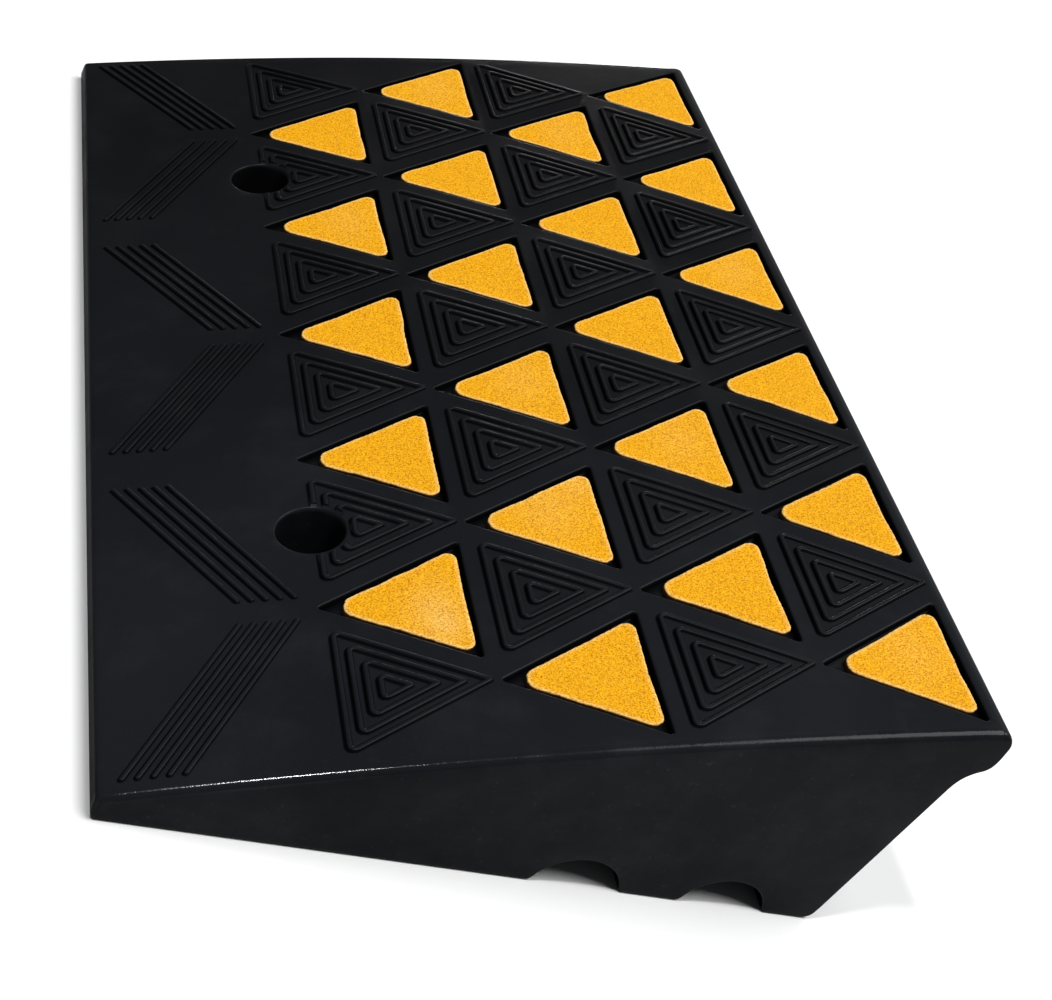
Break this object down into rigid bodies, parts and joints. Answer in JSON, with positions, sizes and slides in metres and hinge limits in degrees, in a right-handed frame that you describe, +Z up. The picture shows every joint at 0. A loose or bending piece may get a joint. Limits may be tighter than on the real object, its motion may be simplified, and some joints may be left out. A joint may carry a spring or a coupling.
{
  "type": "rubber kerb ramp",
  "caption": "Moulded rubber kerb ramp wedge with anti-slip triangle and chevron ribs, recessed reflective inlays, two anchor bolt holes and arched drainage channels.",
  "frame": {"origin": "middle of the rectangular footprint, on the ground plane", "axes": "+X from the low entry edge up to the kerb side, +Y along the kerb, +Z up"},
  "size_m": [0.311, 0.5, 0.1145],
  "materials": {
    "black_rubber": "satin moulded rubber",
    "reflective_bead": "granular glass-bead reflective sheet"
  },
  "bodies": {
    "root": {"ramp_body": "black_rubber", "reflective_inlay_a1": "reflective_bead", "reflective_inlay_a2": "reflective_bead", "reflective_inlay_a3": "reflective_bead", "reflective_inlay_a4": "reflective_bead", "reflective_inlay_a5": "reflective_bead", "reflective_inlay_b1": "reflective_bead", "reflective_inlay_b2": "reflective_bead", "reflective_inlay_b3": "reflective_bead", "reflective_inlay_b4": "reflective_bead", "reflective_inlay_b5": "reflective_bead", "reflective_inlay_b6": "reflective_bead", "reflective_inlay_c1": "reflective_bead", "reflective_inlay_c2": "reflective_bead", "reflective_inlay_c3": "reflective_bead", "reflective_inlay_c4": "reflective_bead", "reflective_inlay_c5": "reflective_bead", "reflective_inlay_d1": "reflective_bead", "reflective_inlay_d2": "reflective_bead", "reflective_inlay_d3": "reflective_bead", "reflective_inlay_d4": "reflective_bead", "reflective_inlay_d5": "reflective_bead", "reflective_inlay_d6": "reflective_bead"}
  },
  "joints": []
}
